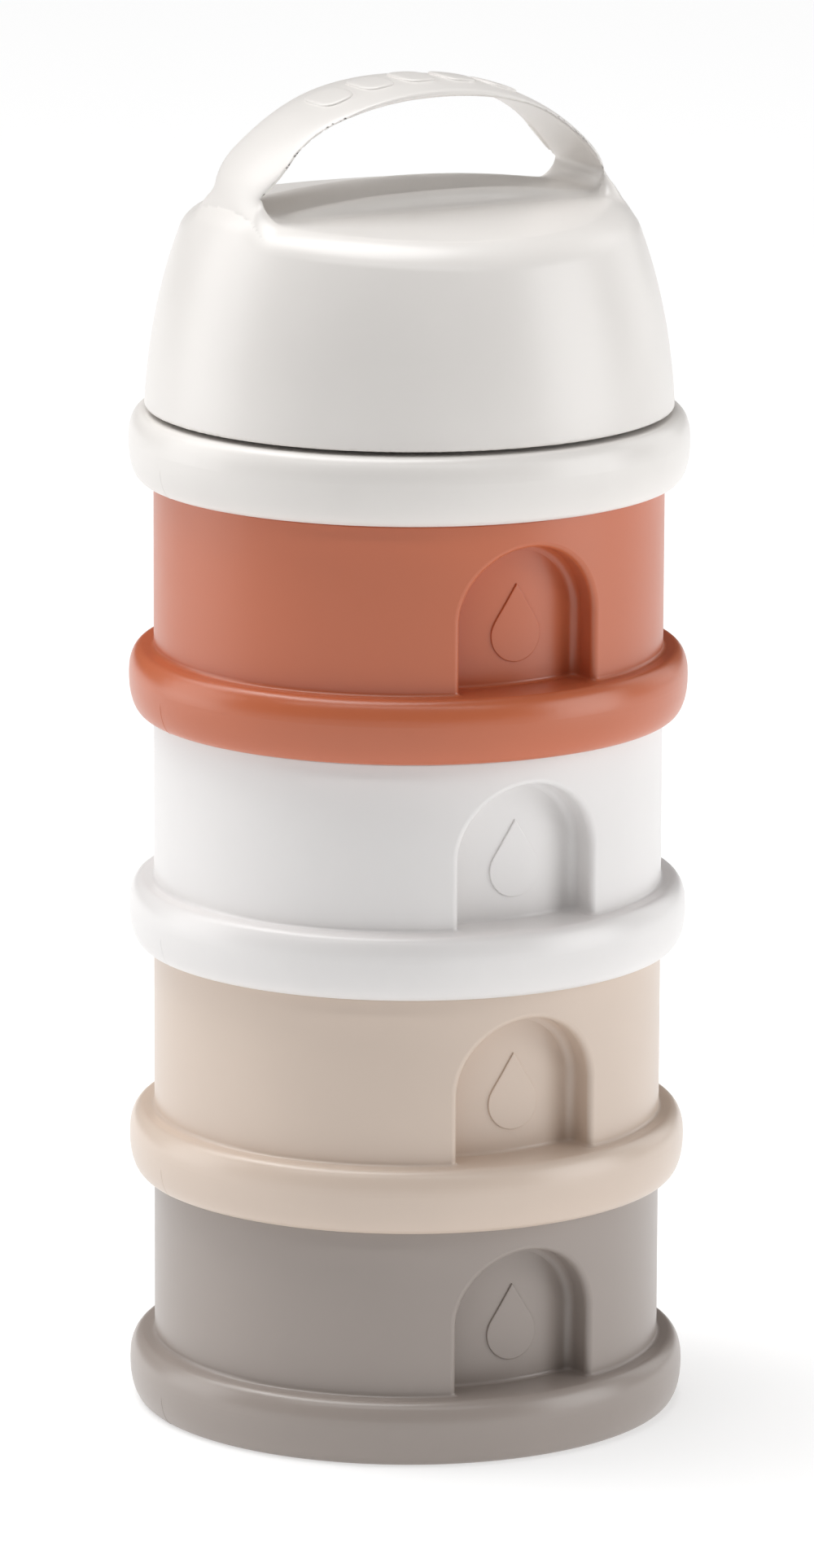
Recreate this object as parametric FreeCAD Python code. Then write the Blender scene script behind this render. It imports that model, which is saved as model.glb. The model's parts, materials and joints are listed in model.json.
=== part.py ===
"""Stackable milk powder dispenser: four screw-together cups, a pour lid and a domed cap with a handle.

Millimetres, +Z up. The origin is the middle of the bottom cup's underside. The arch-shaped recesses face
-Y and the handle spans X. Every piece is drawn where it sits when the stack is screwed tight.
"""
import FreeCAD
import Part
import math
import os
from FreeCAD import Vector

# Stack
CUP_COUNT = 4
PITCH = 38.1             # height that each screwed-on cup adds
WALL_R = 41.0            # outside of a cup's wall
BEAD_R = 45.0            # widest radius of the round bead around each screw socket
BEAD_H = 10.5            # height of a cup's bead
LID_BEAD_H = 11.0        # the pour lid's bead is a little taller
SEAT_GAP = 0.3           # between a cup's shoulder and the bead above it

# Bead section: elliptical corners (radial, vertical)
BEAD_TOP_ROUND = (2.1, 4.1)
BEAD_FOOT_ROUND = (2.2, 5.7)
BEAD_ROOT_FILLET = 0.6   # where the wall stands on the bead

# Cup inside and screw neck
CUP_R = 38.4             # inside of the cup and of its neck
CUP_FLOOR_ROUND = 3.0
NECK_R = 40.1            # outside of the neck
NECK_H = 8.3             # from the shoulder to the rim
RIM_ROUND = 0.5
SHOULDER_ROUND = 0.3

# Screw socket under each cup and under the pour lid
SOCKET_R = 41.4
SOCKET_ROOF = 8.5
SOCKET_LEAD_IN = 0.5
GROOVE_R = 36.9          # inner edge of the gasket's groove
GROOVE_ROOF = 9.3
GASKET_INNER_R = 37.1
GASKET_OUTER_R = 41.2
GASKET_TOP = 9.25
GASKET_FOOT = 8.1        # a little above the rim that presses on it
GASKET_ROUND = 0.3

# Two-start screw thread, right-handed
STARTS = 2
LEAD = 9.0               # climb for one full turn
TOOTH_H = 1.0            # how far a ridge stands out
TOOTH_ROOT_HALF = 1.1
TOOTH_CREST_HALF = 0.5
TOOTH_BED = 0.35         # how deep a ridge's root is sunk in its wall
FLANK_DROP = 1.5         # the socket's ridges hook this far under the neck's
SECTION_STEP = 12.0      # degrees between a ridge's sections
RUN_OUT = 3              # sections over which a ridge fades at each end
RUN_OUT_SINK = 0.6       # a ridge's ends fill this share of its bed, so they stay inside the wall
RUN_OUT_WIDTH = 0.4      # and they would keep this share of its width if they had no height
NECK_RIDGE = (2.0, 6.5)       # heights of a ridge's two ends above the shoulder
SOCKET_RIDGE = (2.2, 6.6)

# Arch-shaped recess on the front of each cup
ARCH_HALF = 11.9
ARCH_TOP = 33.5          # above the cup's underside
ARCH_FLOOR_R = 35.3      # the recess floor runs round with the wall, at this radius
ARCH_WALL = 2.2          # wall behind the recess
ARCH_LIP_ROUND = 0.9
ARCH_FLOOR_FILLET = 1.3

# Plain drop raised on the recess floor
DROP_R = 4.4
DROP_Z = 18.6            # centre of its round part above the cup's underside
DROP_TIP = 8.2           # tip above that centre
DROP_RELIEF = 0.3
DROP_EDGE_ROUND = 0.15

# Pour lid
COLLAR_R = 38.2
COLLAR_INNER_R = 36.6
COLLAR_H = 9.0           # above the bead
COLLAR_RIDGE = (2.4, 7.2)
FUNNEL_R = 36.0
FUNNEL_WALL_Z = 2.0      # where the cone meets the collar, above the bead
FUNNEL_ROUND = 1.0
SPOUT_R = 14.0
SPOUT_INNER_R = 12.2
SPOUT_FOOT = 31.0        # above the lid's underside
FUNNEL_DROP = 1.0        # the cone's inner face meets the spout this far below its outer face
SPOUT_FOOT_ROUND = 2.0
SPOUT_TOP = 41.0

# Domed cap: an ellipse of revolution, closed by a crown that only the handle keeps
CAP_GAP = 0.7            # shadow gap above the lid's bead
DOME_R = 42.56
DOME_RISE = 65.93        # vertical semi-axis of the dome's ellipse
DOME_CENTRE = 159.6
CAP_WALL = 2.3
CAP_SOCKET_R = 39.5
CAP_SOCKET_H = 9.6
CAP_SOCKET_TAPER = 1.0   # height over which the socket's roof runs in to the wall
CAP_RIDGE = (2.7, 7.2)
DECK_Z = 197.0           # along the deck's middle
DECK_BEND_R = 350.0      # the deck falls away to the front and the back on this radius
DECK_EDGE_ROUND = 3.5
DECK_WALL = 2.2
ROOF_R = 26.0            # flat part of the deck's underside
ROOF_ROUND_H = 5.0       # height of the round between that and the wall
CROWN_FOOT = 192.0
CROWN_Z = 216.87

# Handle: the crown between two upright planes, with a D-shaped hole down to the deck
HANDLE_HALF = 10.5
HANDLE_EDGE_ROUND = 0.8
HOLE_FLOOR = 196.5       # a little inside the deck
HOLE_TOP = 214.9
HOLE_HALF = 31.9         # where the hole's floor and side would meet if they weren't rounded
HOLE_SHOULDER = 23.4     # where its side's first line would reach the top
HOLE_CORNER = 3.8
CHANNEL_HALF = 8.2       # hollow on the inside of each leg
CHANNEL_SKIN = 2.1
CHANNEL_INSET = 1.05     # keeps the skin even while the hollow runs out towards the top
CHANNEL_FOOT = 199.8
SILL_HALF = 8.9          # low sill across the deck, between the legs
SILL_Z = 200.2           # at its middle; it falls away to the legs and to both edges
SILL_BEND_R = 170.0      # of its crest, seen from the front
SILL_CROSS_R = 80.0      # of its section, seen from the side
SILL_REACH = 31.0        # its ends are inside the legs
SILL_ROUND = 1.6
PAD_COUNT = 5            # low oblong pads on top of the handle
PAD_PITCH = 7.4
PAD_LENGTH = 5.8         # along the handle
PAD_WIDTH = 9.6          # across it
PAD_CORNER = 2.2
PAD_RELIEF = 0.35
PAD_SUNK = 0.3

# Soft disc that closes the spout, in a short ring under the deck
SEAL_R = 15.2
SEAL_FOOT = 193.5
SEAL_RING_R = 16.8
SEAL_RING_FOOT = 192.0
SEAL_SLACK = 0.05

ROUND = math.sqrt(0.5)   # weight that makes a square corner's conic a quarter ellipse
FULL_TURN = 360.0
FAR = 100.0              # past every face of the object
CLEAR = 0.1              # just past a face or an edge
UPRIGHT = 1.0            # an edge that rises more than this isn't level
LID_Z = CUP_COUNT * PITCH
LID_BEAD_Z = LID_Z + LID_BEAD_H
CAP_Z = LID_BEAD_Z + CAP_GAP


def at(r, z):
    """Point in the XZ plane, where every revolved section is drawn."""
    return Vector(r, 0, z)


def line(a, b):
    return Part.makeLine(at(*a), at(*b))


def conic(a, corner, b, weight=ROUND):
    """Arc from a to b that leaves a and reaches b along its lines to corner."""
    curve = Part.BSplineCurve()
    poles = [at(*a), at(*corner), at(*b)]
    curve.buildFromPolesMultsKnots(poles, [3, 3], [0, 1], False, 2, [1, weight, 1])
    return curve.toShape()


def toward(a, b, distance):
    """Point at the given distance from a on the way to b."""
    span = math.dist(a, b)
    return tuple(p + (q - p) * distance / span for p, q in zip(a, b))


def outline(corners):
    """Closed wire through (r, z) corners. A corner (r, z, before, after) is rounded over those lengths."""
    points = [c[:2] for c in corners]
    rounds = [c[2:] if len(c) == 4 else (0, 0) for c in corners]
    entries = []
    exits = []
    for i, point in enumerate(points):
        entries.append(toward(point, points[i - 1], rounds[i][0]))
        exits.append(toward(point, points[(i + 1) % len(points)], rounds[i][1]))
    edges = []
    for i, point in enumerate(points):
        if rounds[i][0]:
            edges.append(conic(entries[i], point, exits[i]))
        following = entries[(i + 1) % len(points)]
        if math.dist(exits[i], following) > 1e-6:
            edges.append(line(exits[i], following))
    return Part.Wire(edges)


def turned(wire):
    """Solid of revolution about Z."""
    return Part.Face(wire).revolve(Vector(0, 0, 0), Vector(0, 0, 1), FULL_TURN)


def raised(shape, z):
    copy = shape.copy()
    copy.translate(Vector(0, 0, z))
    return copy


def ridge_section(angle, z, root_r, crest_r, height_share):
    """Trapezoid of a thread ridge at one angle, in the plane through the axis."""
    tip_r = root_r + (crest_r - root_r) * height_share
    width_share = RUN_OUT_WIDTH + (1 - RUN_OUT_WIDTH) * height_share
    root_half = TOOTH_ROOT_HALF * width_share
    crest_half = TOOTH_CREST_HALF * width_share
    corners = [
        (root_r, z - root_half),
        (tip_r, z - crest_half),
        (tip_r, z + crest_half),
        (root_r, z + root_half),
    ]
    turn = FreeCAD.Rotation(Vector(0, 0, 1), angle)
    return Part.makePolygon([turn.multVec(at(*c)) for c in corners + corners[:1]])


def ridge(wall_r, outward, z_first, z_last, phase):
    """One ridge wound round a wall of radius wall_r. Its helix starts at z = 0 and the angle phase."""
    side = 1 if outward else -1
    root_r = wall_r - side * TOOTH_BED
    crest_r = wall_r + side * TOOTH_H
    lowest = RUN_OUT_SINK * TOOTH_BED / (TOOTH_BED + TOOTH_H)
    first = z_first * FULL_TURN / LEAD
    last = z_last * FULL_TURN / LEAD
    count = round((last - first) / SECTION_STEP)
    sections = []
    for i in range(count + 1):
        turned_by = first + (last - first) * i / count
        fade = min(1.0, i / RUN_OUT, (count - i) / RUN_OUT)
        share = lowest + (1 - lowest) * math.sin(fade * math.pi / 2)
        z = turned_by * LEAD / FULL_TURN
        sections.append(ridge_section(turned_by + phase, z, root_r, crest_r, share))
    return Part.makeLoft(sections, True, False)


def thread(wall_r, outward, z_first, z_last, base_z, drop=0.0):
    """The ridges of every start, on the helix z = base_z - drop + LEAD * turns."""
    ridges = []
    for start in range(STARTS):
        wound = ridge(wall_r, outward, z_first + drop, z_last + drop, start * FULL_TURN / STARTS)
        ridges.append(raised(wound, base_z - drop))
    return ridges


def bead_corners(height):
    """Bead outside, from the foot of its underside up to its flat top."""
    return [
        (SOCKET_R + SOCKET_LEAD_IN, 0),
        (BEAD_R, 0, *BEAD_FOOT_ROUND),
        (BEAD_R, height, BEAD_TOP_ROUND[1], BEAD_TOP_ROUND[0]),
    ]


def socket_corners(inner_r):
    """Socket's roof from inner_r out, its gasket groove and its wall, down to the mouth."""
    return [
        (inner_r, SOCKET_ROOF),
        (GROOVE_R, SOCKET_ROOF),
        (GROOVE_R, GROOVE_ROOF),
        (SOCKET_R, GROOVE_ROOF),
        (SOCKET_R, SOCKET_LEAD_IN),
    ]


def front_bar(edges):
    """Bar whose closed outline, in the XZ plane, runs from the axis out through the front."""
    return Part.Face(Part.Wire(edges)).extrude(Vector(0, -FAR, 0))


def arch(half, top, foot):
    """Upright arch-shaped bar."""
    spring = top - half
    return front_bar([
        line((-half, foot), (half, foot)),
        line((half, foot), (half, spring)),
        Part.Arc(at(half, spring), at(0, top), at(-half, spring)).toShape(),
        line((-half, spring), (-half, foot)),
    ])


def drop():
    """Drop shape that stands a little proud of the recess floor: a round foot and a pointed top."""
    sweep = math.acos(DROP_R / DROP_TIP)
    touch_x = DROP_R * math.sin(sweep)
    touch_z = DROP_Z + DROP_R * math.cos(sweep)
    tip = (0, DROP_Z + DROP_TIP)
    bar = front_bar([
        line(tip, (touch_x, touch_z)),
        Part.Arc(at(touch_x, touch_z), at(0, DROP_Z - DROP_R), at(-touch_x, touch_z)).toShape(),
        line((-touch_x, touch_z), tip),
    ])
    face_r = ARCH_FLOOR_R + DROP_RELIEF
    plate = bar.common(Part.makeCylinder(face_r, FAR))
    rim = [e for e in plate.Edges if e.BoundBox.YMax < -face_r + DROP_R]
    plate = plate.makeFillet(DROP_EDGE_ROUND, rim)
    return plate.cut(Part.makeCylinder(ARCH_FLOOR_R - DROP_RELIEF, FAR))


def edges_in(shape, low, high, upright=False):
    """Edges whose boxes lie between two corners, or only those that rise."""
    found = []
    for edge in shape.Edges:
        box = edge.BoundBox
        inside = all((
            low[0] < box.XMin and box.XMax < high[0],
            low[1] < box.YMin and box.YMax < high[1],
            low[2] < box.ZMin and box.ZMax < high[2],
        ))
        if inside and (box.ZLength > UPRIGHT or not upright):
            found.append(edge)
    return found


def arch_edges(body, r):
    """Edges that the arch-shaped recess leaves on the cylinder of radius r."""
    side_y = -math.sqrt(r ** 2 - ARCH_HALF ** 2)
    low = (-ARCH_HALF - CLEAR, -r - CLEAR, BEAD_H - CLEAR)
    high = (ARCH_HALF + CLEAR, side_y + CLEAR, ARCH_TOP + CLEAR)
    return edges_in(body, low, high, True)


def cup_outside():
    """Filled outside of a cup: bead, wall, shoulder and neck, with the arch-shaped recess."""
    shoulder = PITCH - SEAT_GAP
    rim = shoulder + NECK_H
    body = turned(outline([
        (0, SOCKET_ROOF),
        *socket_corners(GROOVE_R)[1:],
        *bead_corners(BEAD_H),
        (WALL_R, BEAD_H),
        (WALL_R, shoulder, SHOULDER_ROUND, SHOULDER_ROUND),
        (NECK_R, shoulder),
        (NECK_R, rim, RIM_ROUND, RIM_ROUND),
        (0, rim),
    ]))
    body = body.cut(arch(ARCH_HALF, ARCH_TOP, BEAD_H).cut(Part.makeCylinder(ARCH_FLOOR_R, FAR)))
    body = body.makeFillet(ARCH_LIP_ROUND, arch_edges(body, WALL_R))
    body = body.makeFillet(ARCH_FLOOR_FILLET, arch_edges(body, ARCH_FLOOR_R))
    reach = WALL_R + CLEAR
    root = edges_in(body, (-reach, -reach, BEAD_H - CLEAR), (reach, reach, BEAD_H + CLEAR))
    body = body.makeFillet(BEAD_ROOT_FILLET, root)
    return body.fuse(drop())


def cup():
    """One container, standing at z = 0, with its neck on top and its socket underneath."""
    shoulder = PITCH - SEAT_GAP
    rim = shoulder + NECK_H
    inside = turned(outline([
        (0, BEAD_H),
        (CUP_R, BEAD_H, CUP_FLOOR_ROUND, CUP_FLOOR_ROUND),
        (CUP_R, rim + CLEAR),
        (0, rim + CLEAR),
    ]))
    bulge = arch(ARCH_HALF + ARCH_WALL, ARCH_TOP + ARCH_WALL, BEAD_H - CLEAR)
    bulge = bulge.cut(Part.makeCylinder(ARCH_FLOOR_R - ARCH_WALL, FAR))
    body = cup_outside().cut(inside.cut(bulge))
    ridges = thread(NECK_R, True, *NECK_RIDGE, shoulder)
    ridges += thread(SOCKET_R, False, *SOCKET_RIDGE, -SEAT_GAP, FLANK_DROP)
    return body.fuse(ridges).removeSplitter().Solids[0]


def gasket():
    """Flat silicone ring in the groove of a socket that stands at z = 0."""
    return turned(outline([
        (GASKET_INNER_R, GASKET_FOOT, GASKET_ROUND, GASKET_ROUND),
        (GASKET_OUTER_R, GASKET_FOOT, GASKET_ROUND, GASKET_ROUND),
        (GASKET_OUTER_R, GASKET_TOP),
        (GASKET_INNER_R, GASKET_TOP),
    ]))


def pour_lid():
    """Ring with the same bead and socket, a threaded collar and a funnel that ends in the spout."""
    collar_top = LID_BEAD_H + COLLAR_H
    body = turned(outline([
        *socket_corners(FUNNEL_R),
        *bead_corners(LID_BEAD_H),
        (COLLAR_R, LID_BEAD_H),
        (COLLAR_R, collar_top, RIM_ROUND, RIM_ROUND),
        (COLLAR_INNER_R, collar_top, RIM_ROUND, RIM_ROUND),
        (COLLAR_INNER_R, LID_BEAD_H + FUNNEL_WALL_Z, FUNNEL_ROUND, FUNNEL_ROUND),
        (SPOUT_R, SPOUT_FOOT, SPOUT_FOOT_ROUND, SPOUT_FOOT_ROUND),
        (SPOUT_R, SPOUT_TOP, RIM_ROUND, RIM_ROUND),
        (SPOUT_INNER_R, SPOUT_TOP, RIM_ROUND, RIM_ROUND),
        (SPOUT_INNER_R, SPOUT_FOOT - FUNNEL_DROP, SPOUT_FOOT_ROUND, SPOUT_FOOT_ROUND),
        (FUNNEL_R, LID_BEAD_H, FUNNEL_ROUND, FUNNEL_ROUND),
    ]))
    ridges = thread(COLLAR_R, True, *COLLAR_RIDGE, LID_BEAD_H)
    ridges += thread(SOCKET_R, False, *SOCKET_RIDGE, -SEAT_GAP, FLANK_DROP)
    return body.fuse(ridges).removeSplitter().Solids[0]


def dome_r(z, inset=0.0):
    """Radius at height z of the dome's ellipse, or of one a little smaller inside it."""
    return (DOME_R - inset) * math.sqrt(1 - ((z - DOME_CENTRE) / (DOME_RISE - inset)) ** 2)


def dome_tangent(z, top, inset=0.0):
    """Radius that the ellipse's tangent at z reaches at the height top."""
    flatness = (DOME_R - inset) / (DOME_RISE - inset)
    lean = flatness ** 2 * (z - DOME_CENTRE) / dome_r(z, inset)
    return dome_r(z, inset) - lean * (top - z)


def dome_arc(z_first, z_last, inset=0.0):
    """Arc of that ellipse between two heights."""
    rise = DOME_RISE - inset
    ellipse = Part.Ellipse(at(0, DOME_CENTRE + rise), at(DOME_R - inset, DOME_CENTRE), at(0, DOME_CENTRE))
    first = math.acos((z_first - DOME_CENTRE) / rise)
    last = math.acos((z_last - DOME_CENTRE) / rise)
    return Part.ArcOfEllipse(ellipse, last, first).toShape()


def dome():
    """Filled dome: elliptical wall, cut off by a deck that falls away to the front and the back."""
    top = DECK_Z + CLEAR
    egg = turned(Part.Wire([
        line((0, CAP_Z), (dome_r(CAP_Z), CAP_Z)),
        dome_arc(CAP_Z, top),
        line((dome_r(top), top), (0, top)),
        line((0, top), (0, CAP_Z)),
    ]))
    centre = Vector(-FAR, 0, DECK_Z - DECK_BEND_R)
    along = Vector(1, 0, 0)
    below_deck = Part.makeCylinder(DECK_BEND_R, 2 * FAR, centre, along)
    below_deck.rotate(centre, along, FULL_TURN / 2)      # its seam is underneath, clear of the deck
    body = egg.common(below_deck)
    rim = edges_in(body, (-FAR, -FAR, DECK_Z - DECK_WALL), (FAR, FAR, top))
    return body.makeFillet(DECK_EDGE_ROUND, rim)


def cavity():
    """Inside of the cap: socket, tapering wall and deck's underside, with the seal's ring left standing."""
    roof = DECK_Z - DECK_WALL
    socket_top = CAP_Z + CAP_SOCKET_H
    wall_foot = socket_top + CAP_SOCKET_TAPER
    bend = roof - ROOF_ROUND_H
    corner = (dome_tangent(bend, roof, CAP_WALL), roof)
    hollow = turned(Part.Wire([
        line((0, CAP_Z), (CAP_SOCKET_R, CAP_Z)),
        line((CAP_SOCKET_R, CAP_Z), (CAP_SOCKET_R, socket_top)),
        line((CAP_SOCKET_R, socket_top), (dome_r(wall_foot, CAP_WALL), wall_foot)),
        dome_arc(wall_foot, bend, CAP_WALL),
        conic((dome_r(bend, CAP_WALL), bend), corner, (ROOF_R, roof)),
        line((ROOF_R, roof), (0, roof)),
        line((0, roof), (0, CAP_Z)),
    ]))
    ring = Part.makeCylinder(SEAL_RING_R, FAR).cut(Part.makeCylinder(SEAL_R + SEAL_SLACK, FAR))
    return hollow.cut(raised(ring, SEAL_RING_FOOT))


def crown(foot_r, foot_z, corner_r, top_z):
    """Solid of revolution under a parabola that starts at the foot and is level at the top."""
    return turned(Part.Wire([
        line((0, foot_z), (foot_r, foot_z)),
        conic((foot_r, foot_z), (corner_r, top_z), (0, top_z), 1.0),
        line((0, top_z), (0, foot_z)),
    ]))


def slab(half, foot):
    """Upright slab across X, from the foot up."""
    return Part.makeBox(2 * FAR, 2 * half, FAR, Vector(-FAR, -half, foot))


def finger_hole():
    """D-shaped bar through the handle along Y."""
    corner = (HOLE_HALF, HOLE_FLOOR)
    top_corner = (HOLE_SHOULDER, HOLE_TOP)
    floor_end = (HOLE_HALF - HOLE_CORNER, HOLE_FLOOR)
    side_end = toward(corner, top_corner, HOLE_CORNER)
    apex = (0, HOLE_TOP)
    half = [
        line((0, HOLE_FLOOR), floor_end),
        conic(floor_end, corner, side_end),
        conic(side_end, top_corner, apex, 1.0),
        line(apex, (0, HOLE_FLOOR)),
    ]
    bar = Part.Face(Part.Wire(half)).extrude(Vector(0, 2 * FAR, 0))
    bar.translate(Vector(0, -FAR, 0))
    return bar.fuse(bar.mirror(Vector(0, 0, 0), Vector(1, 0, 0))).removeSplitter()


def barrel(along_r, across_r, reach, top):
    """Solid with a crest along X that bends with one radius and a round section with another."""
    axis_z = top - across_r
    end = across_r - along_r + math.sqrt(along_r ** 2 - reach ** 2)
    crest = Part.Arc(Vector(-reach, 0, -end), Vector(0, 0, -across_r), Vector(reach, 0, -end)).toShape()
    face = Part.Face(Part.Wire([
        line((-reach, 0), (-reach, -end)),
        crest,
        line((reach, -end), (reach, 0)),
        line((reach, 0), (-reach, 0)),
    ]))
    return raised(face.revolve(Vector(0, 0, 0), Vector(1, 0, 0), FULL_TURN), axis_z)


def sill():
    """Low sill across the deck between the legs, crowned both ways, with soft upper edges."""
    size = (2 * SILL_REACH, 2 * SILL_HALF, SILL_Z - CROWN_FOOT)
    bar = Part.makeBox(*size, Vector(-SILL_REACH, -SILL_HALF, CROWN_FOOT))
    bar = bar.common(barrel(SILL_BEND_R, SILL_CROSS_R, SILL_REACH + CLEAR, SILL_Z))
    low = (-SILL_REACH - CLEAR, -SILL_HALF - CLEAR, CROWN_FOOT + CLEAR)
    upper = edges_in(bar, low, (SILL_REACH + CLEAR, SILL_HALF + CLEAR, SILL_Z + CLEAR))
    return bar.makeFillet(SILL_ROUND, [edge for edge in upper if edge.Length > 2 * SILL_HALF + CLEAR])


def pads():
    """Row of low oblong pads across the top of the handle, sunk a little into it."""
    foot_r = dome_r(CROWN_FOOT)
    corner_r = dome_tangent(CROWN_FOOT, CROWN_Z)
    outside = crown(foot_r + PAD_RELIEF, CROWN_FOOT, corner_r + PAD_RELIEF, CROWN_Z + PAD_RELIEF)
    skin = outside.cut(crown(foot_r - PAD_SUNK, CROWN_FOOT, corner_r - PAD_SUNK, CROWN_Z - PAD_SUNK))
    found = []
    for i in range(PAD_COUNT):
        x = (i - (PAD_COUNT - 1) / 2) * PAD_PITCH
        corner = Vector(x - PAD_LENGTH / 2, -PAD_WIDTH / 2, CROWN_FOOT)
        bar = Part.makeBox(PAD_LENGTH, PAD_WIDTH, FAR, corner)
        uprights = [edge for edge in bar.Edges if edge.Length > FAR - CLEAR]
        found.append(bar.makeFillet(PAD_CORNER, uprights).common(skin))
    return found


def handle():
    """Band that carries the dome's surface on over the top, hollowed on the inside of its legs."""
    outer_corner = dome_tangent(CROWN_FOOT, CROWN_Z)
    band = crown(dome_r(CROWN_FOOT), CROWN_FOOT, outer_corner, CROWN_Z).common(slab(HANDLE_HALF, CROWN_FOOT))
    edges = []
    for y in (-HANDLE_HALF, HANDLE_HALF):
        edges += edges_in(band, (-FAR, y - CLEAR, CROWN_FOOT - CLEAR), (FAR, y + CLEAR, CROWN_Z), True)
    band = band.makeFillet(HANDLE_EDGE_ROUND, edges)
    inner_corner = outer_corner - CHANNEL_INSET
    channel = crown(dome_r(CROWN_FOOT) - CHANNEL_SKIN, CROWN_FOOT, inner_corner, HOLE_TOP)
    channel = channel.common(slab(CHANNEL_HALF, CHANNEL_FOOT))
    return band.cut(finger_hole()).cut(channel).fuse(sill()).fuse(pads())


def handle_cap():
    """Domed cap and its handle in one piece, with the socket that screws on the pour lid's collar."""
    body = dome().fuse(handle()).removeSplitter().cut(cavity())
    ridges = thread(CAP_SOCKET_R, False, *CAP_RIDGE, LID_BEAD_Z, FLANK_DROP)
    return body.fuse(ridges).removeSplitter().Solids[0]


def spout_seal():
    """Soft disc that closes the spout."""
    height = DECK_Z - DECK_WALL - SEAL_SLACK - SEAL_FOOT
    return Part.makeCylinder(SEAL_R, height, Vector(0, 0, SEAL_FOOT))


def main():
    os.makedirs("parts", exist_ok=True)
    nodes = {"pour_lid": raised(pour_lid(), LID_Z), "gasket_lid": raised(gasket(), LID_Z)}
    nodes["handle_cap"] = handle_cap()
    nodes["spout_seal"] = spout_seal()
    container = cup()
    ring = gasket()
    for i in range(CUP_COUNT):
        nodes[f"container_{i + 1}"] = raised(container, i * PITCH)
        nodes[f"gasket_{i + 1}"] = raised(ring, i * PITCH)
    for name, shape in nodes.items():
        shape.exportStep(f"parts/{name}.step")
        box = shape.BoundBox
        print(name, shape.isValid(), shape.ShapeType, len(shape.Solids), round(shape.Volume), box)


main()
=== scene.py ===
"""Formula dispenser: satin plastic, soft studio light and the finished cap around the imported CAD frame.

Blender objects are in metres, +Z up. The cap's surface is worked out in millimetres and scaled once.
"""
import json
import math

import bpy
import numpy as np
from mathutils import Matrix, Vector
from mathutils.bvhtree import BVHTree


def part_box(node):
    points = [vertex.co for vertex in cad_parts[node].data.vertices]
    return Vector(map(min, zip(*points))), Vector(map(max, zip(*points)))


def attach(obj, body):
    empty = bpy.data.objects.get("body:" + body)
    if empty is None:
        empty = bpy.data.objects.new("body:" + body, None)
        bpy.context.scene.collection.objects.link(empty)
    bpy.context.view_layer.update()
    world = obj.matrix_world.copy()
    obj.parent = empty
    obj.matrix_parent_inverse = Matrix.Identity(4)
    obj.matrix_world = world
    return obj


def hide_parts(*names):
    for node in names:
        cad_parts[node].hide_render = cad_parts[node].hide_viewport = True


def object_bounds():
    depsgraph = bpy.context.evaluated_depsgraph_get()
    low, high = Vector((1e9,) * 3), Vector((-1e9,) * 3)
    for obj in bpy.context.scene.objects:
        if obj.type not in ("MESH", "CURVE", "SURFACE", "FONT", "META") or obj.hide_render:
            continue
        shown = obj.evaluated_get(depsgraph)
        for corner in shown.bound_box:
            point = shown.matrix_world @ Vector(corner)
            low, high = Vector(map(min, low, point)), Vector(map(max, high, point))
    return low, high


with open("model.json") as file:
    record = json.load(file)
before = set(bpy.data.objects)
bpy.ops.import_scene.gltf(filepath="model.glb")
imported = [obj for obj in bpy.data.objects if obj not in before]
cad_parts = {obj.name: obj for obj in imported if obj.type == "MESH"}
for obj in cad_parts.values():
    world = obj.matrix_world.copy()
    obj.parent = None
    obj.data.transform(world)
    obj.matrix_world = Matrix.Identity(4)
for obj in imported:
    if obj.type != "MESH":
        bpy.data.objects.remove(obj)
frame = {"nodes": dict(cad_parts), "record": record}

cad_low, cad_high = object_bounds()
scene = bpy.context.scene
nodes = frame["nodes"]
MM = 0.001

# Camera: seen from the left of the recesses, a little above
VIEW_SIDE = -28.6                      # degrees round the object, from straight in front of the recesses
CAMERA_AWAY = 1.5477
CAMERA_HEIGHT = 0.4507
CAMERA_SIDE = -0.00014
CAMERA_DOWN = math.radians(12.71)
CAMERA_ROLL = math.radians(0.238)
CAMERA_LENS = 225.6
SENSOR_WIDTH = 36.0
CLIP = (0.01, 50.0)

# Cap, in millimetres, as in the CAD
DOME_R = 42.56
DOME_RISE = 65.93
DOME_CENTRE = 159.6
CAP_Z = 164.1
CAP_WALL = 2.3
SOCKET_R = 39.5
SOCKET_TOP = 173.7
DECK_Z = 197.0
DECK_BEND_R = 350.0
ROOF_Z = 194.8
ROOF_ROUND = 5.0
CROWN_FOOT = 192.0
CROWN_Z = 216.87
HANDLE_HALF = 10.5
HOLE_SIDE = (30.3, 200.0)              # where the finger hole's corner round ends
HOLE_SHOULDER = 23.4
HOLE_TOP = 214.9
CHANNEL_HALF = 8.2
CHANNEL_SKIN = 2.1
CHANNEL_INSET = 1.05
CHANNEL_FOOT = 199.9
SILL_HALF = 8.9
SILL_Z = 200.2
SILL_BEND_R = 170.0                    # of its crest, along X
SILL_CROSS_R = 80.0                    # of its section, along Y
SEAL_RING_R = (15.25, 16.8)
SEAL_RING_FOOT = 192.0
SEAL_RING_COVER = 1.0                  # deck left above it

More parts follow.
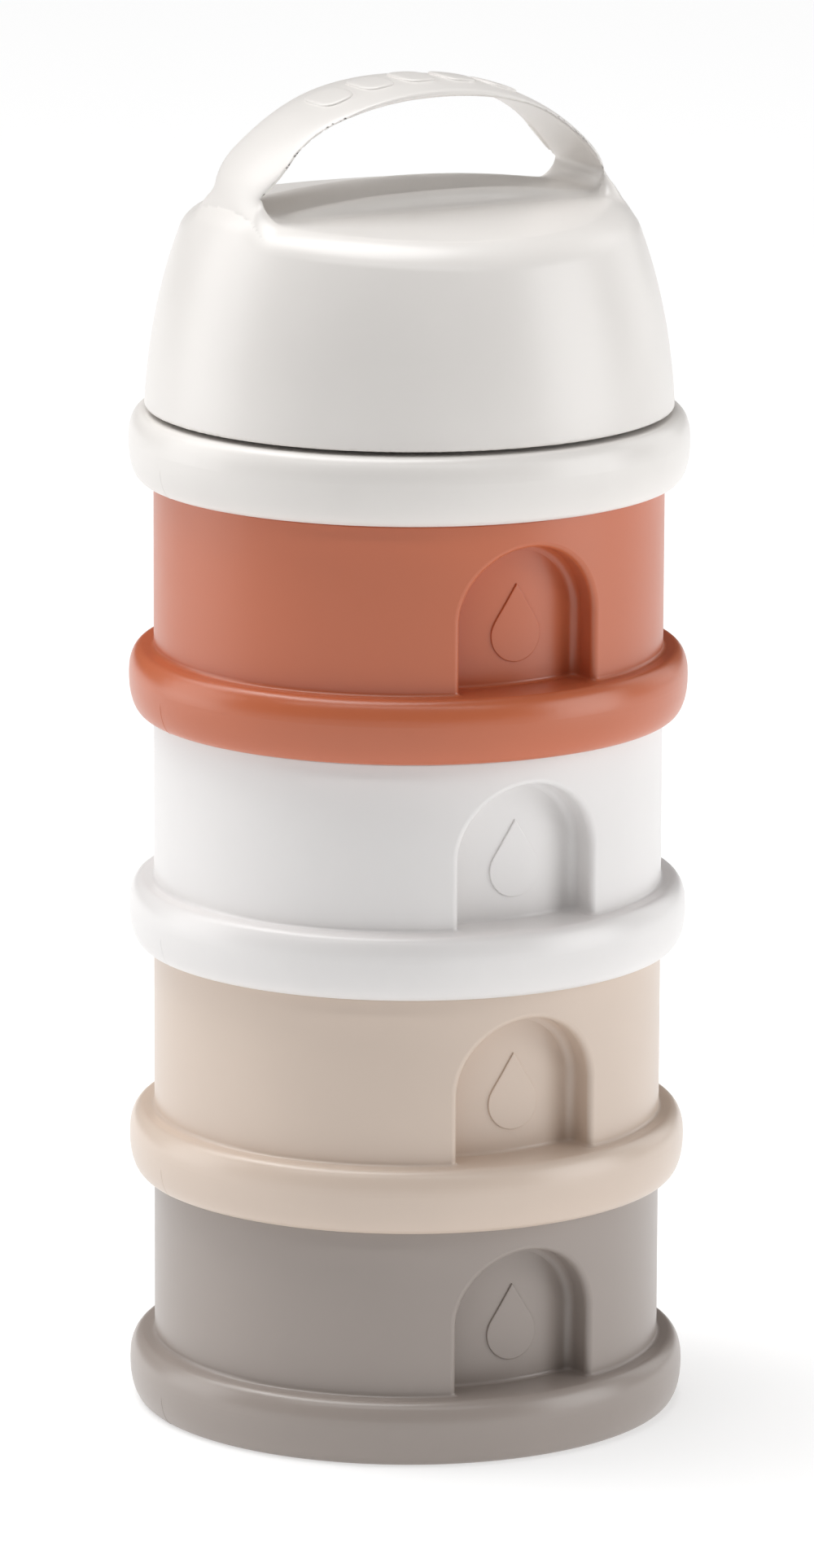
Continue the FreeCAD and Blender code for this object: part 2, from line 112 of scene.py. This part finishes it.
# Edges of the cap: radii in millimetres
FOOT_FILLET = 4.0                      # where the handle stands on the deck
EDGE_LOW = 3.7                         # outer edges, at the deck
EDGE_HIGH = 1.0                        # and at the top of the handle
EDGE_HEIGHTS = (197.0, 206.0)
INNER_EDGE_LOW = 2.0                   # edges of the finger hole, at the deck
INNER_EDGE_HIGH = 0.9
INNER_EDGE_HEIGHTS = (199.0, 206.0)
SILL_ROUND = 1.6
SILL_FILLET = 1.2                      # between the sill and the deck
CHANNEL_ROUND = 0.8                    # along the channel
CHANNEL_FOOT_ROUND = 1.5
CHANNEL_EDGE = 0.5
SHARP = 0.4                            # edges that are barely broken

# Screw thread inside the cap's foot, in millimetres and turns
THREAD_BASE = 161.9
THREAD_LEAD = 9.0
THREAD_TURNS = (4.2 / 9.0, 8.7 / 9.0)
THREAD_FADE = 0.1
THREAD_H = 1.0
THREAD_SUNK = 0.3
THREAD_CREST_HALF = 0.5
THREAD_FLANK = 0.44                    # a ridge grows this much wider, on each side, per millimetre of depth

GRID = 0.42     # of the cap's surface, in millimetres
FAR = 10.0                             # further from the cap than any point that matters


# ---------------------------------------------------------------- cap surface, as a signed distance
def meet(a, b, r):
    """What two shapes share, with the edge rounded to radius r. A number or array below zero is inside."""
    return np.minimum(-r, np.maximum(a, b)) + np.hypot(np.maximum(a + r, 0), np.maximum(b + r, 0))


def join(a, b, r):
    """Both shapes together, with a fillet of radius r."""
    return -meet(-a, -b, r)


def ramp(z, heights, low, high):
    """Goes smoothly from low to high between two heights."""
    t = np.clip((z - heights[0]) / (heights[1] - heights[0]), 0, 1)
    return low + (high - low) * t * t * (3 - 2 * t)


def ellipse(r, z, inset=0.0):
    """Dome's ellipse of revolution, or one a little smaller inside it."""
    wide, tall, up = DOME_R - inset, DOME_RISE - inset, z - DOME_CENTRE
    q = np.hypot(r / wide, up / tall)
    return (q - 1) * q / np.hypot(r / wide ** 2, up / tall ** 2)


def crown_share(r, foot_r, corner_r):
    """Parameter of the parabola that starts at foot_r (1), aims at corner_r and is level on the axis (0).

    Also gives the root in its formula, which the parabola's slope needs.
    """
    b = 2 * corner_r
    a = foot_r - b
    root = np.sqrt(np.maximum(b * b + 4 * a * r, 1e-3))
    return (root - b) / (2 * a), root


def crown(r, z, foot, corner_r, top_z):
    """Space under that parabola, which is level at top_z."""
    share, root = crown_share(r, foot[0], corner_r)
    height = top_z - foot[1]
    slope = 2 * height * share / root
    return (z - top_z + height * share ** 2) / np.sqrt(1 + slope ** 2)


FOOT_R = DOME_R * math.sqrt(1 - ((CROWN_FOOT - DOME_CENTRE) / DOME_RISE) ** 2)
FOOT_LEAN = (DOME_R / DOME_RISE) ** 2 * (CROWN_FOOT - DOME_CENTRE) / FOOT_R
CORNER_R = FOOT_R - FOOT_LEAN * (CROWN_Z - CROWN_FOOT)


def egg(r, z):
    """Outside of the dome and, above it, of the handle."""
    above = crown(r, z, (FOOT_R, CROWN_FOOT), CORNER_R, CROWN_Z)
    return np.where(z < CROWN_FOOT, ellipse(r, z), above)


def thread(x, y, r, z):
    """Two-start ridges on the wall of the cap's socket."""
    turn = np.arctan2(y, x) / math.tau
    found = np.full(np.broadcast(x, y, z).shape, FAR)
    for start in (0.0, 0.5):
        wound = turn - start
        wound = wound + np.round((z - THREAD_BASE) / THREAD_LEAD - wound)
        inside = np.minimum(wound - THREAD_TURNS[0], THREAD_TURNS[1] - wound)
        height = np.sin(np.clip(inside / THREAD_FADE, 0, 1) * math.pi / 2)
        crest_r = SOCKET_R + THREAD_SUNK - (THREAD_H + THREAD_SUNK) * height
        off = np.abs(z - THREAD_BASE - THREAD_LEAD * wound)
        flank = off - THREAD_CREST_HALF - THREAD_FLANK * np.maximum(r - crest_r, 0)
        ridge = np.maximum(meet(crest_r - r, flank, THREAD_SUNK), r - SOCKET_R - 2 * THREAD_SUNK)
        found = np.minimum(found, np.maximum(ridge, -inside * THREAD_LEAD))
    return found


def cap(x, y, z):
    """Signed distance of the whole cap, roughly true near its surface."""
    r = np.hypot(x, y)
    across = np.abs(x)
    deep = np.abs(y)
    deck = z - DECK_Z + y * y / (2 * DECK_BEND_R)
    hole = crown(across, z, HOLE_SIDE, HOLE_SHOULDER, HOLE_TOP)
    inner_edge = ramp(z, INNER_EDGE_HEIGHTS, INNER_EDGE_LOW, INNER_EDGE_HIGH)
    legs = meet(deep - HANDLE_HALF, -hole, inner_edge)
    top = z - SILL_Z + x * x / (2 * SILL_BEND_R) + y * y / (2 * SILL_CROSS_R)
    sill = meet(deep - SILL_HALF, top, SILL_ROUND)
    solid = join(join(deck, sill, SILL_FILLET), legs, FOOT_FILLET)
    body = meet(egg(r, z), solid, ramp(z, EDGE_HEIGHTS, EDGE_LOW, EDGE_HIGH))
    skin = crown(across, z, (FOOT_R - CHANNEL_SKIN, CROWN_FOOT), CORNER_R - CHANNEL_INSET, HOLE_TOP)
    channel = meet(meet(skin, deep - CHANNEL_HALF, CHANNEL_ROUND), CHANNEL_FOOT - z, CHANNEL_FOOT_ROUND)
    body = meet(body, -np.maximum(channel, -sill), CHANNEL_EDGE)
    cavity = meet(ellipse(r, z, CAP_WALL), z - ROOF_Z, ROOF_ROUND)
    cavity = np.minimum(cavity, np.maximum(r - SOCKET_R, z - SOCKET_TOP))
    body = meet(meet(body, -cavity, SHARP), CAP_Z - z, SHARP)
    middle = sum(SEAL_RING_R) / 2
    half = (SEAL_RING_R[1] - SEAL_RING_R[0]) / 2
    ring = np.maximum(SEAL_RING_FOOT - z, z - DECK_Z + SEAL_RING_COVER)
    ring = meet(np.abs(r - middle) - half, ring, SHARP / 2)
    return np.minimum(np.minimum(body, ring), thread(x, y, r, z))


def lean(field, points, step=0.02):
    """Gradient of a field at points."""
    found = np.empty_like(points)
    for axis in range(3):
        off = np.zeros(3)
        off[axis] = step
        found[:, axis] = (field(*(points + off).T) - field(*(points - off).T)) / (2 * step)
    return found


def settle(field, points, rounds=4, longest=0.3):
    """Points moved on to the field's zero surface."""
    for _ in range(rounds):
        way = lean(field, points)
        move = way * (field(*points.T) / np.maximum((way * way).sum(1), 0.05))[:, None]
        length = np.linalg.norm(move, axis=1, keepdims=True)
        points = points - move * np.minimum(1, longest / np.maximum(length, 1e-9))
    return points


def wrap(field, low, high, step):
    """Quads round the zero surface of a field, one corner in each grid cell that the surface crosses."""
    axes = [np.arange(a, b + step, step) for a, b in zip(low, high)]
    values = field(*np.meshgrid(*axes, indexing="ij", sparse=True)).astype(np.float32)
    cells = np.array(values.shape) - 1
    total = np.zeros((*cells, 3), np.float32)
    count = np.zeros(cells, np.int16)
    crossings = []
    for axis in range(3):
        along = np.moveaxis(values, axis, 0)
        crossed = (along[:-1] < 0) != (along[1:] < 0)
        first, second = along[:-1][crossed], along[1:][crossed]
        others = [other for other in range(3) if other != axis]
        edge = np.empty((len(first), 3), int)
        edge[:, [axis, *others]] = np.argwhere(crossed)
        point = edge.astype(np.float32)
        point[:, axis] += first / (first - second)
        corners = []
        for back in ((0, 0), (1, 0), (1, 1), (0, 1)):
            cell = edge.copy()
            cell[:, others] -= back
            np.add.at(total, tuple(cell.T), point)
            np.add.at(count, tuple(cell.T), 1)
            corners.append(cell)
        outward = (first < 0) != (axis == 1)
        crossings.append((corners, outward))
    used = count > 0
    number = np.full(cells, -1)
    number[used] = np.arange(used.sum())
    points = total[used] / count[used][:, None] * step + np.array(low)
    quads = []
    for corners, outward in crossings:
        quad = np.stack([number[tuple(cell.T)] for cell in corners], 1)
        quad[~outward] = quad[~outward][:, ::-1]
        quads.append(quad)
    return points, np.concatenate(quads)


# ---------------------------------------------------------------- making pieces
def new_piece(name, points, faces, body, slot, normals=None):
    """Smooth mesh in the CAD frame from points in millimetres, on a body and with a slot's material."""
    mesh = bpy.data.meshes.new(name)
    mesh.from_pydata((points * MM).tolist(), [], faces)
    mesh.polygons.foreach_set("use_smooth", [True] * len(mesh.polygons))
    mesh.update()
    if normals is not None:
        mesh.normals_split_custom_set_from_vertices(normals.tolist())
    thing = bpy.data.objects.new(name, mesh)
    scene.collection.objects.link(thing)
    thing.data.materials.append(looks[slot])
    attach(thing, body)
    return thing


def make_cap():
    reach = DOME_R + 2 * GRID
    points, quads = wrap(cap, (-reach, -reach, CAP_Z - 2 * GRID), (reach, reach, CROWN_Z + 2 * GRID), GRID)
    points = settle(cap, points)
    normals = lean(cap, points)
    normals /= np.linalg.norm(normals, axis=1, keepdims=True)
    shell = new_piece("domed_cap", points, quads.tolist(), "cap", "warm_white_plastic", normals)
    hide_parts("handle_cap")


# Raised pads across the top of the handle, in millimetres
PAD_COUNT = 5
PAD_PITCH = 7.4
PAD_HALF = (2.9, 4.8)                  # along the handle, across it
PAD_SQUARENESS = 3.0
PAD_RELIEF = 0.35
PAD_RINGS = ((0.0, -0.3), (0.02, 0.4), (0.06, 0.75), (0.13, 0.95), (0.25, 1.0), (0.5, 1.0), (0.75, 1.0))
PAD_SIDES = 64


def on_crown(x, y, lift):
    """Points on the crown at x and y, moved out by lift."""
    share, _ = crown_share(np.hypot(x, y), FOOT_R, CORNER_R)
    z = CROWN_Z - (CROWN_Z - CROWN_FOOT) * share ** 2
    points = np.stack([x, y, z], 1)
    way = lean(lambda a, b, c: egg(np.hypot(a, b), c), points)
    return points + way / np.linalg.norm(way, axis=1, keepdims=True) * np.reshape(lift, (-1, 1))


def make_pads():
    """Row of soft oblong pads, one mesh."""
    points = []
    faces = []
    turn = np.arange(PAD_SIDES) * math.tau / PAD_SIDES
    power = 2 / PAD_SQUARENESS
    round_x = np.sign(np.cos(turn)) * np.abs(np.cos(turn)) ** power
    round_y = np.sign(np.sin(turn)) * np.abs(np.sin(turn)) ** power
    for i in range(PAD_COUNT):
        middle = (i - (PAD_COUNT - 1) / 2) * PAD_PITCH
        start = sum(len(p) for p in points)
        for inset, height in PAD_RINGS:
            x = middle + round_x * PAD_HALF[0] * (1 - inset)
            y = round_y * (PAD_HALF[1] - PAD_HALF[0] * inset)
            points.append(on_crown(x, y, np.full(PAD_SIDES, PAD_RELIEF * height)))
        points.append(on_crown(np.array([middle]), np.array([0.0]), PAD_RELIEF))
        for ring in range(len(PAD_RINGS) - 1):
            for k in range(PAD_SIDES):
                a = start + ring * PAD_SIDES + k
                b = start + ring * PAD_SIDES + (k + 1) % PAD_SIDES
                faces.append((a, b, b + PAD_SIDES, a + PAD_SIDES))
        last = start + (len(PAD_RINGS) - 1) * PAD_SIDES
        tip = last + PAD_SIDES
        faces += [(last + k, last + (k + 1) % PAD_SIDES, tip) for k in range(PAD_SIDES)]
    new_piece("handle_pads", np.concatenate(points), faces, "cap", "warm_white_plastic")


# Fine raised line that the mould's halves leave on the lower half of each bead, in millimetres
LINE_SECTION = ((-0.16, -0.03), (-0.07, 0.05), (0.07, 0.05), (0.16, -0.03))    # across the line, height
LINE_MIDDLE_R = 41.5
LINE_MIDDLE_Z = 5.2                    # above the piece's underside
LINE_AWAY = 12.0
LINE_ANGLES = np.radians(np.linspace(-80, 5, 40))


def make_mould_line(node, body, slot):
    """Two lines, at +X and -X, laid on the node's surface and kept inside the CAD model's box."""
    mesh = nodes[node].data
    tree = BVHTree.FromPolygons([v.co for v in mesh.vertices], [p.vertices for p in mesh.polygons])
    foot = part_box(node)[0][2]
    points = []
    faces = []
    for side in (-1, 1):
        start = len(points)
        middle = Vector((side * LINE_MIDDLE_R * MM, 0, foot + LINE_MIDDLE_Z * MM))
        for angle in LINE_ANGLES:
            way = Vector((side * math.cos(angle), 0, math.sin(angle)))
            hit = tree.ray_cast(middle + way * LINE_AWAY * MM, -way)[0]
            for across, height in LINE_SECTION:
                points.append(np.array(hit + way * height * MM) / MM + (0, side * across, 0))
        width = len(LINE_SECTION)
        for i in range(len(LINE_ANGLES) - 1):
            for k in range(width - 1):
                a = start + i * width + k
                faces.append((a, a + 1, a + 1 + width, a + width))
    points = np.clip(points, np.array(cad_low) / MM, np.array(cad_high) / MM)
    new_piece(node + "_mould_line", points, faces, body, slot)


# ---------------------------------------------------------------- materials
COLOURS = {
    "taupe_plastic": (0.36, 0.31, 0.28),
    "beige_plastic": (0.68, 0.56, 0.47),
    "white_plastic": (0.82, 0.80, 0.79),
    "terracotta_plastic": (0.545, 0.142, 0.061),
    "warm_white_plastic": (0.80, 0.77, 0.74),
    "silicone": (0.8, 0.8, 0.78),
}
CLOUD_SCALE = 38.0                     # per metre: clouds in the plastic
RUB_SCALE = 260.0                      # patches of handling polish, and of dust
GRAIN_SCALE = 2600.0                   # grain of the mould's surface
CLOUD_BAND = (0.3, 0.7)                # part of a noise's range in which a pattern changes
RUB_BAND = (0.36, 0.62)
BUMP_HEIGHT = 2e-5                     # metres

PLASTIC_ROUGHNESS = 0.32
PLASTIC_IOR = 1.58
PLASTIC_TINTS = (0.985, 1.015)         # of the clouds
PLASTIC_CLOUD_ROUGHNESS = 0.012        # either way
PLASTIC_RUB_ROUGHNESS = 0.008          # either way
PLASTIC_GRAIN = 0.12
BEAD_R = (0.0428, 0.0436)              # beads, which come out of the mould a little smoother than the walls
BEAD_POLISH = -0.02
CREST_R = (0.0441, 0.0450)             # bead crests, which rub on things
HANDLE_TOP_Z = (0.2130, 0.2168)
WORN_TINT = 1.05
WORN_SHARE = 0.12
WORN_POLISH = -0.012

SILICONE_TINTS = (0.95, 1.02)
SILICONE_ROUGHNESS = (0.42, 0.6)       # clean and dusty
SILICONE_DEPTH = 0.001                 # metres that light goes in
SILICONE_GLOW = 0.3                    # share of light that does
SILICONE_IOR = 1.41
SILICONE_GRAIN = 0.3


class Nodes:
    """Short way to build a material's nodes."""

    def __init__(self, name):
        self.material = bpy.data.materials.new(name)
        self.material.use_nodes = True
        self.tree = self.material.node_tree
        self.shader = self.tree.nodes["Principled BSDF"]

    def put(self, value, socket):
        """Links a socket's value to an input, or sets the input to a plain value."""
        if isinstance(value, bpy.types.NodeSocket):
            self.tree.links.new(value, socket)
        elif value is not None:
            socket.default_value = value

    def add(self, kind, *values, **settings):
        """New node with its inputs set or linked in order; gives its first output."""
        node = self.tree.nodes.new(kind)
        for key, value in settings.items():
            setattr(node, key, value)
        for socket, value in zip(node.inputs, values):
            self.put(value, socket)
        return node.outputs[0]

    def math(self, operation, *values):
        return self.add("ShaderNodeMath", *values, operation=operation)

    def steps(self, value, low, high, start=0.0, end=1.0):
        """Smooth change from start to end while value goes from low to high."""
        return self.add("ShaderNodeMapRange", value, low, high, start, end, interpolation_type="SMOOTHSTEP")

    def noise(self, where, scale, detail):
        return self.add("ShaderNodeTexNoise", where, None, scale, detail)

    def blend(self, share, first, second):
        """Colour between two colours."""
        node = self.tree.nodes.new("ShaderNodeMix")
        node.data_type = "RGBA"
        for socket, value in ((node.inputs[0], share), (node.inputs[6], first), (node.inputs[7], second)):
            self.put(value, socket)
        return node.outputs[2]

    def into(self, name, value):
        self.put(value, self.shader.inputs[name])

    def grain(self, where, strength):
        """Fine bump all over."""
        bump = self.add("ShaderNodeBump", strength, BUMP_HEIGHT)
        self.put(self.noise(where, GRAIN_SCALE, 2), bump.node.inputs["Height"])
        self.into("Normal", bump)


def shade(colour, factor):
    return (*(min(c * factor, 1) for c in colour), 1)


def plastic(name, colour):
    """Satin moulded plastic: fine grain, faint clouds, and a polish where hands and tables rub it."""
    m = Nodes(name)
    where = m.add("ShaderNodeTexCoord").node.outputs["Object"]
    cloud = m.noise(where, CLOUD_SCALE, 3)
    rubs = m.noise(where, RUB_SCALE, 4)
    flat = m.add("ShaderNodeVectorMath", where, (1, 1, 0), operation="MULTIPLY")
    out = m.add("ShaderNodeVectorMath", flat, operation="LENGTH").node.outputs["Value"]
    high = m.add("ShaderNodeSeparateXYZ", where).node.outputs["Z"]
    worn = m.math("MAXIMUM", m.steps(out, *CREST_R), m.steps(high, *HANDLE_TOP_Z))
    worn = m.math("MULTIPLY", worn, m.steps(rubs, *RUB_BAND))
    tint = m.blend(m.steps(cloud, *CLOUD_BAND), *(shade(colour, factor) for factor in PLASTIC_TINTS))
    tint = m.blend(m.math("MULTIPLY", worn, WORN_SHARE), tint, shade(colour, WORN_TINT))
    m.into("Base Color", tint)
    ends = (PLASTIC_ROUGHNESS - PLASTIC_CLOUD_ROUGHNESS, PLASTIC_ROUGHNESS + PLASTIC_CLOUD_ROUGHNESS)
    rough = m.steps(cloud, *CLOUD_BAND, *ends)
    rough = m.math("ADD", rough, m.math("MULTIPLY", worn, WORN_POLISH))
    rough = m.math("ADD", rough, m.steps(rubs, *CLOUD_BAND, -PLASTIC_RUB_ROUGHNESS, PLASTIC_RUB_ROUGHNESS))
    m.into("Roughness", m.math("ADD", rough, m.steps(out, *BEAD_R, 0.0, BEAD_POLISH)))
    m.into("IOR", PLASTIC_IOR)
    m.grain(where, PLASTIC_GRAIN)
    return m.material


def silicone(name, colour):
    """Cloudy silicone: light goes a little way in, and dust dulls it in patches."""
    m = Nodes(name)
    where = m.add("ShaderNodeTexCoord").node.outputs["Object"]
    cloud = m.noise(where, CLOUD_SCALE, 3)
    dust = m.noise(where, RUB_SCALE, 5)
    tint = m.blend(m.steps(cloud, *CLOUD_BAND), *(shade(colour, factor) for factor in SILICONE_TINTS))
    m.into("Base Color", tint)
    m.into("Roughness", m.steps(dust, *CLOUD_BAND, *SILICONE_ROUGHNESS))
    m.into("Subsurface Weight", SILICONE_GLOW)
    m.into("Subsurface Scale", SILICONE_DEPTH)
    m.into("IOR", SILICONE_IOR)
    m.grain(where, SILICONE_GRAIN)
    return m.material


def paper(name, white, glow):
    """Studio paper, bright enough to keep shadows faint."""
    m = Nodes(name)
    m.into("Base Color", (white, white, white, 1))
    m.into("Roughness", 0.9)
    m.into("Specular IOR Level", 0.1)
    m.into("Emission Color", (1, 1, 1, 1))
    m.into("Emission Strength", glow)
    return m.material


# ---------------------------------------------------------------- camera, light and floor
BOX_AWAY = 1.25                        # metres from the middle of the stack
SOFT_BOXES = (                         # name, degrees round from the camera's side, elevation, size, power
    ("left_box", -98, 12, (0.8, 0.9), 4.5),
    ("high_left_box", -113, 46, (0.6, 0.6), 3.0),
    ("right_box", 78, 12, (0.8, 0.9), 6.4),
    ("back_right_box", 130, 20, (0.6, 0.9), 2.0),
    ("high_front_strip", -8, 50, (1.9, 0.16), 3.3),
)
SUN_STRENGTH = 2.4
SUN_ANGLE = 45
SUN_WAY = (-115, 78)                   # degrees round from the camera's side, elevation
WORLD_STRENGTH = 0.05
FLOOR_REACH = 6.0
FLOOR_CORNERS = ((-1, -1), (1, -1), (1, 1), (-1, 1))
FLOOR_WHITE = 0.5
FLOOR_GLOW = 0.54


def make_camera():
    camera = bpy.data.objects.new("camera", bpy.data.cameras.new("camera"))
    scene.collection.objects.link(camera)
    camera.data.lens = CAMERA_LENS
    camera.data.sensor_width = SENSOR_WIDTH
    camera.data.clip_start, camera.data.clip_end = CLIP
    turn = Matrix.Rotation(math.radians(VIEW_SIDE), 4, "Z")
    place = Matrix.Translation((CAMERA_SIDE, -CAMERA_AWAY, CAMERA_HEIGHT))
    tilt = Matrix.Rotation(math.radians(90) - CAMERA_DOWN, 4, "X")
    roll = Matrix.Rotation(CAMERA_ROLL, 4, "Z")
    camera.matrix_world = turn @ place @ tilt @ roll
    scene.camera = camera


def direction(azimuth, elevation):
    """Unit vector. Azimuth 0 is towards the front of the recesses, 90 towards +X; both in degrees."""
    a, e = math.radians(azimuth), math.radians(elevation)
    return Vector((math.sin(a) * math.cos(e), -math.cos(a) * math.cos(e), math.sin(e)))


def soft_box(name, azimuth, elevation, size, power):
    """Rectangular light aimed at the middle of the stack."""
    light = bpy.data.lights.new(name, "AREA")
    light.shape = "RECTANGLE"
    light.size, light.size_y = size
    light.energy = power
    thing = bpy.data.objects.new(name, light)
    scene.collection.objects.link(thing)
    way = direction(azimuth, elevation)
    thing.location = Vector((0, 0, (cad_low[2] + cad_high[2]) / 2)) + way * BOX_AWAY
    thing.rotation_euler = way.to_track_quat("Z", "Y").to_euler()


def overhead(strength, angle, azimuth, elevation):
    """Broad light from above, even over the whole floor."""
    light = bpy.data.lights.new("overhead", "SUN")
    light.energy = strength
    light.angle = math.radians(angle)
    thing = bpy.data.objects.new("overhead", light)
    scene.collection.objects.link(thing)
    thing.rotation_euler = direction(azimuth, elevation).to_track_quat("Z", "Y").to_euler()


def make_floor():
    """Level paper, far wider than the view."""
    mesh = bpy.data.meshes.new("floor")
    mesh.from_pydata([(FLOOR_REACH * x, FLOOR_REACH * y, 0) for x, y in FLOOR_CORNERS], [], [(0, 1, 2, 3)])
    floor = bpy.data.objects.new("floor", mesh)
    scene.collection.objects.link(floor)
    floor.data.materials.append(paper("floor_paper", FLOOR_WHITE, FLOOR_GLOW))


def make_room():
    """Even light from all round, under the lamps."""
    world = bpy.data.worlds.new("studio")
    scene.world = world
    world.use_nodes = True
    sky = world.node_tree.nodes["Background"]
    sky.inputs["Color"].default_value = (1, 1, 1, 1)
    sky.inputs["Strength"].default_value = WORLD_STRENGTH


make_camera()
scene.view_settings.view_transform = "Standard"
make_room()
for box_name, azimuth, *rest in SOFT_BOXES:
    soft_box(box_name, VIEW_SIDE + azimuth, *rest)
overhead(SUN_STRENGTH, SUN_ANGLE, VIEW_SIDE + SUN_WAY[0], SUN_WAY[1])
make_floor()

looks = {slot: plastic(slot + "_look", colour) for slot, colour in COLOURS.items() if slot != "silicone"}
looks["silicone"] = silicone("silicone_look", COLOURS["silicone"])
for part in frame["record"]["subparts"]:
    thing = nodes[part["node"]]
    thing.data.materials.clear()
    thing.data.materials.append(looks[part["material_slot"]])

make_cap()
make_pads()
bodies = {node: body for body, held in frame["record"]["behaviour"]["bodies"].items() for node in held}
for part in frame["record"]["subparts"]:
    if part["node"].startswith(("container", "pour_lid")):
        make_mould_line(part["node"], bodies[part["node"]], part["material_slot"])
